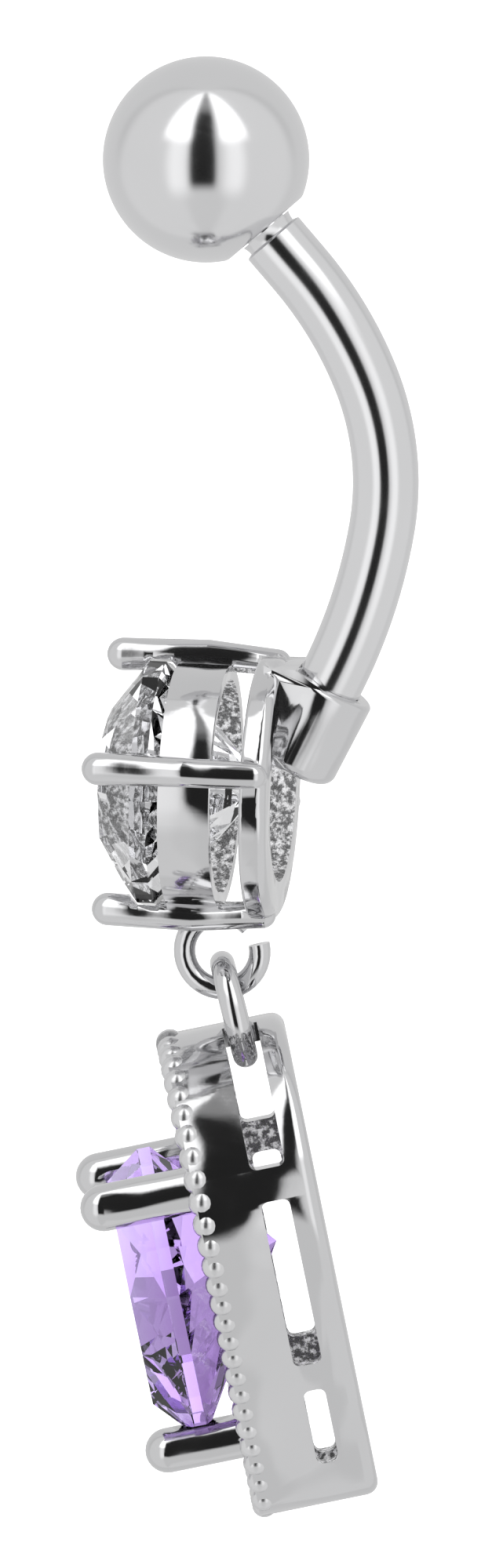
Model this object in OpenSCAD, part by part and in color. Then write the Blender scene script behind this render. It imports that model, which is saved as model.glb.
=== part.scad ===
// Navel ring: a bent barbell with a ball above, a round stone in an open basket below,
// and a pear drop that hangs from the basket on one closed link.
// The front of the jewel faces -Y, X is left and right, Z is up.
// The origin lies on the bar's centre line where the bar stands upright.

/* [Bar] */
// Diameter of the bar's wire
bar_d = 1.6; // [1.2:0.1:1.8]
// Bend radius of the bar's middle
mid_bend_r = 6.74; // [5.5:0.1:8]
// Bend radius of the bar's upper stretch
upper_bend_r = 9.52; // [8:0.1:12]
// Bend radius of the bar's lower stretch
lower_bend_r = 13.29; // [9:0.1:16]
// Lean of the bar where the middle bend becomes the upper one
mid_top_lean = 22.4; // [16:0.2:28]
// Lean of the bar where the middle bend becomes the lower one
mid_low_lean = 9.8; // [6:0.2:16]
// Lean of the bar's upper end
top_lean = 41; // [34:0.5:46]
// Lean of the bar's lower end
low_lean = 27.3; // [22:0.3:32]
// Straight length above the upper bend
top_straight = 0.97; // [0.6:0.05:1.6]
// Diameter of the neck under the ball
neck_d = 1.42; // [1:0.02:1.5]
// Length of the neck under the ball
neck_len = 0.26; // [0.15:0.01:0.5]
// Diameter of the hidden stud inside the ball
stud_d = 1.1; // [0.8:0.05:1.15]
// Length of the hidden stud inside the ball
stud_len = 2.2; // [1.4:0.1:2.4]

/* [Ball] */
// Diameter of the ball
ball_d = 5; // [4.2:0.1:6]
// Diameter of the flat that faces the bar
ball_flat_d = 2.37; // [1.9:0.05:2.8]

/* [Socket] */
// Outer diameter of the socket tube
socket_d = 2.35; // [2.2:0.05:2.8]
// Length of the socket tube
socket_len = 2.25; // [1.8:0.05:2.8]
// How far the bar reaches into the socket
bar_insert = 1.7; // [1.2:0.05:1.75]
// Rounding of the socket's rim
socket_rim_r = 0.13; // [0.05:0.01:0.2]
// Rounding of the socket's closed end
socket_end_r = 0.3; // [0.1:0.05:0.45]
// Width of the flat-sided web between socket and basket
web_w = 2.24; // [1.6:0.02:2.24]
// Height of the web's top above the centre of the socket's rim
web_rise = 0.5; // [0.3:0.05:0.6]
// Length of the web's level top behind the basket
web_top_len = 0.42; // [0.2:0.02:0.5]

/* [Round stone] */
// Diameter of the round stone
round_d = 6; // [5:0.1:7]
// Height of the round stone's crown
round_crown = 0.96; // [0.8:0.02:1.2]
// Thickness of the round stone's girdle
round_girdle = 0.4; // [0.2:0.02:0.5]
// Depth of the round stone's pavilion
round_pavilion = 2.45; // [2:0.05:2.6]
// Table of the round stone as a share of its diameter
round_table = 0.57; // [0.5:0.01:0.65]

/* [Basket] */
// How far the basket's back lies in front of the socket's rim centre
basket_forward = 1.12; // [0.9:0.02:1.3]
// How far the basket's centre lies below the socket's rim centre
basket_drop = 2.6; // [2.3:0.05:2.9]
// Lean of the basket's top towards the back
basket_lean = 1.5; // [0:0.5:3]
// Reach of the base ring past the stone
base_reach = 0.2; // [0.1:0.02:0.3]
// Width of the base ring
base_w = 0.95; // [0.7:0.05:1.2]
// Thickness of the base ring
base_t = 0.65; // [0.5:0.05:0.8]
// Rounding of the base ring's outer back edge
base_edge_r = 0.25; // [0.1:0.05:0.3]
// Open gap between base ring and front rail
rail_gap = 0.76; // [0.5:0.02:0.9]
// Height of the front rail
rail_h = 1.25; // [1:0.05:1.35]
// Wall of the front rail
rail_wall = 0.34; // [0.25:0.01:0.45]
// How far the front rail stays inside the stone's edge
rail_inset = 0.05; // [0.02:0.01:0.1]
// Diameter of a prong at its foot
prong_foot_d = 0.66; // [0.5:0.02:0.8]
// Diameter of a prong at its tip
prong_tip_d = 0.8; // [0.7:0.02:0.9]
// Reach of the prongs past the table
prong_proud = 0.2; // [0.1:0.02:0.4]
// Turn of the four prongs about the basket's axis
prong_turn = 14; // [0:1:20]

/* [Eyelet] */
// Wire diameter of the eyelet
eyelet_wire = 0.53; // [0.45:0.01:0.6]
// Inner diameter of the eyelet
eyelet_bore = 1.32; // [1.3:0.02:1.5]
// How far the eyelet's wire sinks into the basket's edge
eyelet_sink = 0.38; // [0.3:0.02:0.5]
// How far the eyelet's centre lies in front of the basket's back
eyelet_forward = 1.5; // [1.2:0.05:1.7]
// Height above level at which the eyelet's gap starts
eyelet_gap_from = 12; // [0:1:15]
// Height above level at which the eyelet's gap ends
eyelet_gap_to = 42; // [30:1:45]

/* [Link] */
// Wire diameter of the link
link_wire = 0.6; // [0.5:0.01:0.62]
// Inner diameter of the link
link_bore = 1.716; // [1.7:0.02:1.9]
// Lean of the link, with its foot towards the back
link_lean = 14; // [8:1:18]
// Turn of the link and the drop about the upright
hang_turn = 10; // [0:0.5:12]

/* [Drop] */
// Radius of the drop's round end
drop_r = 4; // [3.6:0.1:4.4]
// Radius of the drop's pointed end
drop_tip_r = 0.8; // [0.7:0.05:1.1]
// Height of the drop
drop_h = 12.1; // [11.5:0.1:13]
// Depth of the drop's side band
drop_depth = 2.78; // [2.5:0.02:3]
// Lean of the drop, with its point towards the back
drop_lean = 11.4; // [8:0.2:14]
// Wall of the side band
band_wall = 0.5; // [0.4:0.02:0.6]
// Thickness of the front plate
front_t = 0.7; // [0.6:0.02:0.8]
// Thickness of the back plate
back_t = 0.45; // [0.35:0.01:0.5]
// Distance from the drop's back to the middle of its side slots
slot_from_back = 1.09; // [0.95:0.01:1.2]
// Thickness of the bridge that the link carries
bridge_t = 0.5; // [0.4:0.02:0.6]
// Width of the bridge that the link carries
bridge_w = 1; // [0.8:0.02:1.1]
// Width of the upper slots
upper_slot_w = 0.86; // [0.8:0.01:1]
// Foot of the upper slots below the drop's top
upper_slot_to = 3.05; // [2.6:0.05:3.2]
// Width of the middle slots
mid_slot_w = 0.7; // [0.6:0.01:0.9]
// Top of the middle slots below the drop's top
mid_slot_from = 3.85; // [3.5:0.05:4.2]
// Foot of the middle slots below the drop's top
mid_slot_to = 8.25; // [7:0.05:8.3]
// Width of the lower slots
low_slot_w = 0.54; // [0.4:0.01:0.7]
// Top of the lower slots below the drop's top
low_slot_from = 8.95; // [8.7:0.05:9.1]
// Foot of the lower slots below the drop's top
low_slot_to = 10.95; // [10:0.05:11]

/* [Front edge] */
// Width of the raised rim along the front edge
rim_w = 0.42; // [0.3:0.01:0.46]
// Height of the raised rim
rim_rise = 0.2; // [0.1:0.01:0.3]

/* [Pear stone] */
// Radius of the pear stone's round end
pear_r = 2.75; // [2.4:0.05:2.8]
// Radius of the pear stone's point
pear_tip_r = 0.35; // [0.25:0.05:0.5]
// Height of the pear stone
pear_h = 7.2; // [6.8:0.1:7.3]
// Top of the pear stone below the drop's top
pear_below_top = 2.6; // [2.3:0.05:2.7]
// Height of the pear stone's crown
pear_crown = 0.86; // [0.7:0.02:1.1]
// Thickness of the pear stone's girdle
pear_girdle = 0.32; // [0.1:0.02:0.4]
// Depth of the pear stone's pavilion
pear_pavilion = 2.57; // [2.2:0.05:2.7]
// Table of the pear stone as a share of its outline
pear_table = 0.78; // [0.7:0.01:0.84]
// How far the girdle stands in front of the band
pear_rise = 1.04; // [0.94:0.02:1.24]
// Diameter of the two upper prongs
upper_prong_d = 1.15; // [0.9:0.05:1.2]
// Turn of the upper prongs from the top of the pear stone
upper_prong_turn = 51; // [45:1:56]
// Reach of the upper prongs past the table
upper_prong_proud = 0.76; // [0.4:0.02:0.9]
// Diameter of the lower prong
low_prong_d = 1.1; // [0.9:0.05:1.2]
// Reach of the lower prong past the table
low_prong_proud = 0.42; // [0.2:0.02:0.6]
// How far the prongs' centres lie outside the pear stone's edge
pear_prong_out = 0.25; // [0.2:0.01:0.35]

/* [Front stones] */
// Diameter of a small front stone
halo_d = 0.92; // [0.8:0.02:0.96]
// Spacing of the small front stones
halo_pitch = 1.14; // [1.1:0.02:1.4]
// How far the row of front stones lies inside the drop's edge
halo_inset = 1; // [0.96:0.01:1.1]

/* [Fits] */
// Gap between the bar and the socket's bore
bar_gap = 0.025; // [0.01:0.005:0.05]
// Gap round the stud in the ball and at its end
stud_gap = 0.03; // [0.02:0.005:0.06]
// Gap between a stone and its setting
stone_gap = 0.03; // [0.02:0.005:0.06]
// Gap between the link and what it hangs on or carries
link_gap = 0.05; // [0.03:0.01:0.08]

/* [Hidden] */
$fn = 64;
metal = "silver";
// How far a cutter runs where it goes right through
far = 8;
// How far a cutter reaches past the face that it opens
overcut = 1;
// Each stretch of the bar is this much thinner than the one that it starts in
bar_step = 0.006;

// The bar's centre line in the side plane, as [y, z]
mid_c = [-mid_bend_r, 0];
upper_c = mid_c + (mid_bend_r - upper_bend_r) * [cos(mid_top_lean), sin(mid_top_lean)];
lower_c = mid_c + (mid_bend_r - lower_bend_r) * [cos(mid_low_lean), -sin(mid_low_lean)];
bar_top = upper_c + upper_bend_r * [cos(top_lean), sin(top_lean)];
bar_low = lower_c + lower_bend_r * [cos(low_lean), -sin(low_lean)];

// The ball's flat and centre along the bar's upper end
shoulder_at = top_straight;
flat_at = shoulder_at + neck_len + stud_gap;
flat_to_centre = sqrt(pow(ball_d / 2, 2) - pow(ball_flat_d / 2, 2));
ball_at = flat_at + flat_to_centre;

// The basket, measured forwards from its back
basket_y = bar_low.x - basket_forward;
basket_z = bar_low.y - basket_drop;
base_r = round_d / 2 + base_reach;
rail_r = round_d / 2 - rail_inset;
rail_from = base_t + rail_gap;
rail_to = rail_from + rail_h;
culet_at = base_t - 0.15;
girdle_at = culet_at + round_pavilion;
table_at = girdle_at + round_girdle + round_crown;
prong_end = table_at + prong_proud;
prong_ring_r = round_d / 2 + 0.2;

// The eyelet, below the basket
eyelet_r = (eyelet_bore + eyelet_wire) / 2;
eyelet_c = [
    basket_y - eyelet_forward,
    basket_z - base_r - eyelet_wire / 2 + eyelet_sink - eyelet_r
];
eyelet_foot = [eyelet_c.x, eyelet_c.y - eyelet_r];

// The link hangs inside the eyelet, and the drop's bridge rests on the link's foot
link_r = (link_bore + link_wire) / 2;
link_top = eyelet_foot + [0, (eyelet_wire + link_wire) / 2 + link_gap];
link_down = [-sin(link_lean) * sin(hang_turn), sin(link_lean) * cos(hang_turn), -cos(link_lean)];
link_foot = [0, link_top.x, link_top.y] + 2 * link_r * link_down;

// The drop's outline, in its own frame: the link's foot is the origin and Y points up
drop_top = link_wire / 2 + link_gap + bridge_t;
drop_cy = drop_top - drop_r;
drop_ty = drop_top - drop_h + drop_tip_r;
band_back = -slot_from_back;
band_front = band_back + drop_depth;
plate_back = band_front - front_t;

// The pear stone in the drop's frame
pear_cy = drop_top - pear_below_top - pear_r;
pear_ty = drop_top - pear_below_top - pear_h + pear_tip_r;
pear_girdle_at = band_front + pear_rise;
pear_table_at = pear_girdle_at + pear_girdle + pear_crown;
pear_culet_at = pear_girdle_at - pear_pavilion;

// Small front stones
halo_crown = 0.2 * halo_d;
halo_pavilion = 0.42 * halo_d;
halo_seat = halo_pavilion + stone_gap;
opening_share = 0.62;

// Lean of a pear outline's flanks, from its two radii and their centres
function flank_lean(r, tip_r, cy, ty) = asin((r - tip_r) / (cy - ty));
function flank_len(r, tip_r, cy, ty) = (cy - ty) * cos(flank_lean(r, tip_r, cy, ty));

// Half the length round a pear outline
function pear_half(r, tip_r, cy, ty) =
    let (lean = flank_lean(r, tip_r, cy, ty))
    (r * (90 + lean) + tip_r * (90 - lean)) * PI / 180 + flank_len(r, tip_r, cy, ty);

// The point of a pear outline at length s from its top, on the right side
function pear_right(s, r, tip_r, cy, ty) =
    let (
        lean = flank_lean(r, tip_r, cy, ty),
        arc = r * (90 + lean) * PI / 180,
        flank = flank_len(r, tip_r, cy, ty),
        share = (s - arc) / flank,
        head = [r * cos(lean), cy - r * sin(lean)],
        foot = [tip_r * cos(lean), ty - tip_r * sin(lean)]
    )
    s < arc ? [r * sin(s / r * 180 / PI), cy + r * cos(s / r * 180 / PI)]
    : share < 1 ? head * (1 - share) + foot * share
    : let (past = (s - arc - flank) / tip_r * 180 / PI)
        [tip_r * cos(lean + past), ty - tip_r * sin(lean + past)];

// The same all round, with the left side mirrored
function pear_at(s, r, tip_r, cy, ty) =
    let (half = pear_half(r, tip_r, cy, ty), p = pear_right(min(s, 2 * half - s), r, tip_r, cy, ty))
    s <= half ? p : [-p.x, p.y];

// Places things drawn in the side plane, with X as y and Y as z
module in_side_plane(at) {
    translate([0, at.x, at.y]) rotate([90, 0, 90]) children();
}

// Places things drawn upright, with Y as z and Z towards the front
module facing_front() {
    rotate([90, 0, 0]) children();
}

module at_bar_top() {
    translate([0, bar_top.x, bar_top.y]) rotate([top_lean, 0, 0]) children();
}

module at_socket() {
    translate([0, bar_low.x, bar_low.y]) rotate([-low_lean, 0, 0]) children();
}

module at_basket() {
    translate([0, basket_y, basket_z]) rotate([-basket_lean, 0, 0]) facing_front() children();
}

module at_link() {
    translate([0, link_top.x, link_top.y]) rotate([link_lean, 0, hang_turn]) facing_front()
        translate([0, -link_r, 0]) children();
}

module at_drop() {
    translate(link_foot) rotate([drop_lean, 0, hang_turn]) facing_front() children();
}

// A bent round wire in the side plane, between two angles above the rear level
module wire_arc(at, bend_r, wire_d, from, to) {
    in_side_plane(at) rotate([0, 0, from]) rotate_extrude(angle = to - from)
        translate([bend_r, 0]) circle(d = wire_d);
}

// A straight tapered rod in a prong's own plane, from [out, up] to [out, up]
module rod(from, to, from_d, to_d) {
    run = to - from;
    translate([from.x, 0, from.y]) rotate([0, atan2(run.x, run.y), 0])
        cylinder(h = norm(run), d1 = from_d, d2 = to_d);
}

// A pear outline: a large circle and a small one, joined by their common tangents
module pear_2d(r, tip_r, cy, ty) {
    lean = flank_lean(r, tip_r, cy, ty);
    translate([0, cy]) circle(r);
    translate([0, ty]) circle(tip_r);
    polygon([
        [r * cos(lean), cy - r * sin(lean)], [tip_r * cos(lean), ty - tip_r * sin(lean)],
        [-tip_r * cos(lean), ty - tip_r * sin(lean)], [-r * cos(lean), cy - r * sin(lean)]
    ]);
}

// The drop's outline, grown by a margin, as a solid between two heights
module pear_slab(grow, from, to) {
    translate([0, 0, from]) linear_extrude(to - from)
        pear_2d(drop_r + grow, drop_tip_r + grow, drop_cy, drop_ty);
}

// Outline points of a pear stone, 16 round it, starting at its top
function pear_ring(r, tip_r, cy, ty) =
    let (half = pear_half(r, tip_r, cy, ty))
    [for (i = [0 : 15]) pear_at(2 * half * i / 16, r, tip_r, cy, ty)];
function round_ring(r) = [for (i = [0 : 15]) r * [sin(22.5 * i), cos(22.5 * i)]];

// A faceted stone from 16 outline points: a table, star, main and break facets above
// and main and break facets below. Heights are measured from the foot of the girdle.
module cut_stone(ring, middle, table, crown, girdle, pavilion) {
    top = girdle + crown;
    star = (1 + table) / 2 + 0.02;
    star_z = girdle + crown * 0.46;
    break_out = 0.28;
    break_z = -pavilion * 0.74;
    points = [
        for (i = [0 : 2 : 14]) [each middle + (ring[i] - middle) * table, top],
        for (i = [1 : 2 : 15]) [each middle + (ring[i] - middle) * star, star_z],
        for (i = [0 : 15]) [ring[i].x, ring[i].y, girdle],
        for (i = [0 : 15]) [ring[i].x, ring[i].y, 0],
        for (i = [1 : 2 : 15]) [each middle + (ring[i] - middle) * break_out, break_z],
        [middle.x, middle.y, -pavilion]
    ];
    faces = [
        [7, 6, 5, 4, 3, 2, 1, 0],
        for (k = [0 : 7]) let (n = (k + 1) % 8) each [
            [k, n, 8 + k],
            [k, 8 + k, 16 + 2 * k],
            [n, 16 + 2 * n, 8 + k],
            [8 + k, 17 + 2 * k, 16 + 2 * k],
            [8 + k, 16 + 2 * n, 17 + 2 * k]
        ],
        for (i = [0 : 15]) let (n = (i + 1) % 16) each [
            [16 + i, 16 + n, 32 + n],
            [16 + i, 32 + n, 32 + i]
        ],
        for (k = [0 : 7]) let (n = (k + 1) % 8) each [
            [32 + 2 * k, 33 + 2 * k, 48 + k],
            [33 + 2 * k, 32 + 2 * n, 48 + k],
            [32 + 2 * k, 48 + k, 56],
            [32 + 2 * n, 56, 48 + k]
        ]
    ];
    polyhedron(points, faces, convexity = 4);
}

module round_cut(r, crown, girdle, pavilion, table) {
    cut_stone(round_ring(r), [0, 0], table, crown, girdle, pavilion);
}

// The space that the round stone takes in its setting, with its gap
module round_stone_space() {
    gap = stone_gap;
    wide = round_d / 2 + gap;
    steep = 1.4 * gap;
    translate([0, 0, girdle_at]) rotate_extrude() polygon([
        [0, -round_pavilion - steep], [wide, -steep], [wide, round_girdle + steep],
        [wide * round_table, round_girdle + round_crown + steep], [0, round_girdle + round_crown + steep]
    ]);
}

module pear_cut(gap) {
    middle = [0, pear_cy - 0.15];
    translate([0, 0, pear_girdle_at - gap]) cut_stone(
        pear_ring(pear_r + gap, pear_tip_r + gap, pear_cy, pear_ty), middle, pear_table,
        pear_crown + gap, pear_girdle + 2 * gap, pear_pavilion + gap
    );
}

module curved_bar() {
    color(metal) {
        wire_arc(mid_c, mid_bend_r, bar_d, -mid_low_lean, mid_top_lean);
        wire_arc(upper_c, upper_bend_r, bar_d - bar_step, mid_top_lean - 1, top_lean);
        wire_arc(lower_c, lower_bend_r, bar_d - bar_step, -low_lean, 1 - mid_low_lean);
        at_socket() translate([0, 0, -bar_insert])
            cylinder(h = bar_insert + 0.2, d = bar_d - 2 * bar_step);
        at_bar_top() {
            translate([0, 0, -0.2]) cylinder(h = shoulder_at + 0.2, d = bar_d - 2 * bar_step);
            translate([0, 0, shoulder_at]) cylinder(h = neck_len, d = neck_d);
            translate([0, 0, shoulder_at + neck_len]) cylinder(h = stud_gap + stud_len, d = stud_d);
        }
    }
}

module ball_end() {
    color(metal) at_bar_top() difference() {
        translate([0, 0, ball_at]) sphere(d = ball_d);
        translate([0, 0, flat_at - far]) cylinder(h = far, d = far);
        translate([0, 0, flat_at - 1])
            cylinder(h = 1 + stud_len + stud_gap, d = stud_d + 2 * stud_gap);
    }
}

// A round bar with rounded corners at its foot and its top, standing on its foot
module round_ended(height, r, foot_r, top_r) {
    rotate_extrude() {
        square([r - foot_r, height / 2]);
        translate([0, foot_r]) square([r, height - foot_r - top_r]);
        translate([0, height / 2]) square([r - top_r, height / 2]);
        translate([r - foot_r, foot_r]) intersection() {
            circle(foot_r);
            translate([0, -foot_r]) square(foot_r);
        }
        translate([r - top_r, height - top_r]) intersection() {
            circle(top_r);
            square(top_r);
        }
    }
}

module socket() {
    back = basket_y - base_t / 2;
    difference() {
        union() {
            intersection() {
                at_socket() {
                    translate([0, 0, -socket_len])
                        round_ended(socket_len, socket_d / 2, socket_end_r, socket_rim_r);
                    translate([-web_w / 2, -far, -socket_len + socket_end_r])
                        cube([web_w, far, socket_len - socket_end_r - socket_rim_r]);
                }
                translate([-far, back, basket_z - far]) cube([2 * far, far, 3 * far]);
            }
            translate([-web_w / 2, 0, 0]) in_side_plane([0, 0]) linear_extrude(web_w) polygon([
                [back, bar_low.y + web_rise], [basket_y + web_top_len, bar_low.y + web_rise],
                bar_low, [back, bar_low.y - web_rise]
            ]);
        }
        at_socket() translate([0, 0, -bar_insert - bar_gap]) cylinder(h = far, d = bar_d + 2 * bar_gap);
    }
}

module basket_prong() {
    foot = [prong_ring_r - 0.12, base_t / 2];
    bend = [prong_ring_r, (rail_from + rail_to) / 2];
    tip = [prong_ring_r - 0.08, prong_end - prong_tip_d / 2];
    bend_d = (prong_foot_d + prong_tip_d) / 2;
    translate([foot.x, 0, foot.y]) sphere(d = prong_foot_d);
    rod(foot, bend, prong_foot_d, bend_d);
    translate([bend.x, 0, bend.y]) sphere(d = bend_d);
    rod(bend, tip, bend_d, prong_tip_d);
    translate([tip.x, 0, tip.y]) sphere(d = prong_tip_d);
}

module basket() {
    inner_r = base_r - base_w;
    difference() {
        union() {
            difference() {
                round_ended(base_t, base_r, base_edge_r, 0.1);
                translate([0, 0, -overcut]) cylinder(h = base_t + 2 * overcut, r = inner_r);
            }
            difference() {
                translate([0, 0, rail_from]) cylinder(h = rail_h, r = rail_r);
                translate([0, 0, rail_from - overcut])
                    cylinder(h = rail_h + 2 * overcut, r = rail_r - rail_wall);
            }
            for (k = [0 : 3]) rotate([0, 0, prong_turn + 90 * k]) basket_prong();
        }
        round_stone_space();
    }
}

// The solder that joins the eyelet to the foot of the basket and to its lower prong
module eyelet_solder() {
    lift = eyelet_c.y + eyelet_r;
    reach = prong_ring_r * sin(prong_turn);
    translate([0, eyelet_c.x, lift]) rotate([0, 90, 0]) cylinder(h = reach, d = eyelet_wire);
    translate([0, eyelet_c.x, lift]) rotate([-90, 0, 0])
        cylinder(h = basket_y - base_t / 2 - eyelet_c.x, d = eyelet_wire);
    translate([0, basket_y - rail_from - 0.2, lift]) rotate([-90, 0, 0])
        cylinder(h = eyelet_c.x - basket_y + rail_from + 0.2, d = eyelet_wire);
}

module stone_setting() {
    color(metal) {
        socket();
        at_basket() basket();
        wire_arc(eyelet_c, eyelet_r, eyelet_wire, eyelet_gap_to, 360 + eyelet_gap_from);
        eyelet_solder();
    }
}

module round_stone() {
    color("white") at_basket() translate([0, 0, girdle_at])
        round_cut(round_d / 2, round_crown, round_girdle, round_pavilion, round_table);
}

module jump_link() {
    color(metal) at_link() rotate_extrude() translate([link_r, 0]) circle(d = link_wire);
}

// One slot cut through both flanks of the drop, between two depths below its top
module side_slot(width, from, to) {
    translate([-far, drop_top - to, -width / 2]) cube([2 * far, to - from, width]);
}

module drop_slots() {
    difference() {
        side_slot(upper_slot_w, -overcut, upper_slot_to);
        translate([-bridge_w / 2, drop_top - bridge_t, -far]) cube([bridge_w, far, 2 * far]);
    }
    side_slot(mid_slot_w, mid_slot_from, mid_slot_to);
    side_slot(low_slot_w, low_slot_from, low_slot_to);
}

// The raised rim along the front edge that carries the row of beads
module front_rim() {
    difference() {
        pear_slab(0, band_front - front_t / 2, band_front + rim_rise);
        pear_slab(-rim_w, band_front - front_t, band_front + overcut);
    }
}

// Where the three fat prongs stand: [x, y, tip height, diameter]
upper_prong_at = (pear_r + pear_prong_out) * [sin(upper_prong_turn), cos(upper_prong_turn)];
pear_prongs = [
    for (side = [-1, 1]) [
        side * upper_prong_at.x, pear_cy + upper_prong_at.y,
        pear_table_at + upper_prong_proud, upper_prong_d
    ],
    [0, pear_ty - pear_tip_r - pear_prong_out, pear_table_at + low_prong_proud, low_prong_d]
];

module fat_prongs() {
    difference() {
        for (p = pear_prongs) translate([p.x, p.y, 0]) {
            foot = band_front - front_t / 2;
            translate([0, 0, foot]) cylinder(h = p.z - p[3] / 2 - foot, d = p[3]);
            translate([0, 0, p.z - p[3] / 2]) sphere(d = p[3]);
        }
        pear_cut(stone_gap);
    }
}

// Places of the small front stones: a row inside the drop's edge that skips the prongs
halo_r = drop_r - halo_inset;
halo_tip_r = 0.05;
halo_ty = drop_cy - (halo_r - halo_tip_r) / sin(flank_lean(drop_r, drop_tip_r, drop_cy, drop_ty));
halo_half = pear_half(halo_r, halo_tip_r, drop_cy, halo_ty);
halo_count = floor(2 * halo_half / halo_pitch);
halo_row = [
    for (i = [0 : halo_count - 1])
        pear_at(2 * halo_half * (i + 0.5) / halo_count, halo_r, halo_tip_r, drop_cy, halo_ty)
];
function prong_free(place) = min([
    for (p = pear_prongs) norm(place - [p.x, p.y]) - p[3] / 2
]) > halo_d / 2 + 3 * stone_gap;
halo_places = [for (place = halo_row) if (prong_free(place)) place];

module halo_seats() {
    for (place = halo_places) translate([place.x, place.y, band_front - halo_seat])
        cylinder(h = far, d = halo_d + 2 * stone_gap);
}

// The opening in the front plate, under the pear stone's pavilion
module stone_opening() {
    low = pear_cy + (pear_ty - pear_cy) * opening_share;
    translate([0, 0, plate_back - overcut]) linear_extrude(front_t + 2 * overcut)
        pear_2d(pear_r * opening_share, pear_tip_r * opening_share, pear_cy, low);
}

module drop_frame() {
    color(metal) at_drop() {
        difference() {
            union() {
                pear_slab(0, band_back, band_front);
                front_rim();
            }
            pear_slab(-band_wall, band_back + back_t, plate_back);
            drop_slots();
            halo_seats();
            stone_opening();
        }
        fat_prongs();
    }
}

module pear_stone() {
    color("mediumpurple") at_drop() pear_cut(0);
}

module halo_stones() {
    color("white") at_drop() for (place = halo_places)
        translate([place.x, place.y, band_front])
            round_cut(halo_d / 2, halo_crown, 0.04, halo_pavilion, 0.55);
}

curved_bar();
ball_end();
stone_setting();
round_stone();
jump_link();
drop_frame();
pear_stone();
halo_stones();
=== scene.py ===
# %% [markdown]
# A navel ring with a pear drop
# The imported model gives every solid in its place, and this script dresses it. The metal is made
# again with finer curves or softened edges, the stones bend light, a row of beads runs round the
# drop, and a white studio stands about it all. Sizes are in millimetres, as in the source, and
# become metres where a mesh is made.

# %% Load the frame
import math
import bmesh
import bpy
from mathutils import Matrix, Vector


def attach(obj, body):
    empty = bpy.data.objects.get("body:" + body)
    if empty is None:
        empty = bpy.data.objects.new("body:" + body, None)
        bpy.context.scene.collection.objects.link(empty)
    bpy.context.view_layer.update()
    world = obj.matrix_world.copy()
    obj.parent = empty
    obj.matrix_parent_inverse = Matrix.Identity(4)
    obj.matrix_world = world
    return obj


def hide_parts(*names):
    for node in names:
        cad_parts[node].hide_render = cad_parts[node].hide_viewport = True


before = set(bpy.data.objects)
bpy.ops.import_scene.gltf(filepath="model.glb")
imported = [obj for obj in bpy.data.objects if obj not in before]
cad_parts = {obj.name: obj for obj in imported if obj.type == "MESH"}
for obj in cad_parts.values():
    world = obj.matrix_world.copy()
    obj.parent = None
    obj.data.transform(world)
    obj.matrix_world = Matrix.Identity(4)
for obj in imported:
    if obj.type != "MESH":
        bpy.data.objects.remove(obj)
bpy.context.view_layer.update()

MM = 0.001

# %% [markdown]
# A finish is a formula that changes over the surface. It could be joined from small nodes by hand
# in the editor, or typed as one call for each node and link, but neither reads like a formula. So a
# small class stands for a socket here, and sums and products of it add the Math nodes themselves.

# %% Sockets that can be added and multiplied


def plug(tree, place, value):
    """Links a field to a node's input, or writes a plain value there."""
    if isinstance(value, Field):
        tree.links.new(value.socket, place)
    else:
        place.default_value = value


class Field:
    """An output socket that takes part in sums and products."""

    def __init__(self, tree, socket):
        self.tree = tree
        self.socket = socket

    def math(self, operation, other=0.0, flip=False):
        """A Math node of this value and, where it takes one, another. Flip puts that first."""
        node = self.tree.nodes.new("ShaderNodeMath")
        node.operation = operation
        pair = (other, self) if flip else (self, other)
        for place, value in zip(node.inputs, pair):
            plug(self.tree, place, value)
        return Field(self.tree, node.outputs[0])

    def clamped(self):
        """This value, kept between 0 and 1."""
        return self.math("MAXIMUM", 0.0).math("MINIMUM", 1.0)

    def output(self, name):
        """Another output of the same node."""
        return Field(self.tree, self.socket.node.outputs[name])

    def __add__(self, other):
        return self.math("ADD", other)

    def __radd__(self, other):
        return self.math("ADD", other, True)

    def __sub__(self, other):
        return self.math("SUBTRACT", other)

    def __rsub__(self, other):
        return self.math("SUBTRACT", other, True)

    def __mul__(self, other):
        return self.math("MULTIPLY", other)

    def __rmul__(self, other):
        return self.math("MULTIPLY", other, True)

    def __truediv__(self, other):
        return self.math("DIVIDE", other)

    def __rtruediv__(self, other):
        return self.math("DIVIDE", other, True)

    def __pow__(self, other):
        return self.math("POWER", other)

    def __rpow__(self, other):
        return self.math("POWER", other, True)


print("a field knows + - * / and **")

# %% [markdown]
# Every other node is made in the same three steps: choose its kind, set its settings, and fill or
# link its inputs. Written out, that is four or five lines a node, and the order matters, because a
# setting can change which inputs there are. One method does all three, for the materials, for the
# world and for shapes.

# %% Making nodes


class Nodes:
    """A node tree, with one method that makes any node in it."""

    def __init__(self, tree):
        self.tree = tree

    def node(self, kind, inputs, settings=None, output=0):
        """Makes a node, sets its settings, then its inputs, and returns one of its outputs."""
        made = self.tree.nodes.new(kind)
        for key, value in (settings or {}).items():
            setattr(made, key, value)
        for place, value in inputs.items():
            plug(self.tree, made.inputs[place], value)
        return Field(self.tree, made.outputs[output])


print("helper", Nodes.__name__)

# %% [markdown]
# A material here is one Principled surface with the few nodes that this jewel's finishes are made
# of. The patterns read each piece's own place in metres, because metal has no seams to unwrap, and
# a pattern that sits in space needs no map.

# %% Materials


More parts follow.
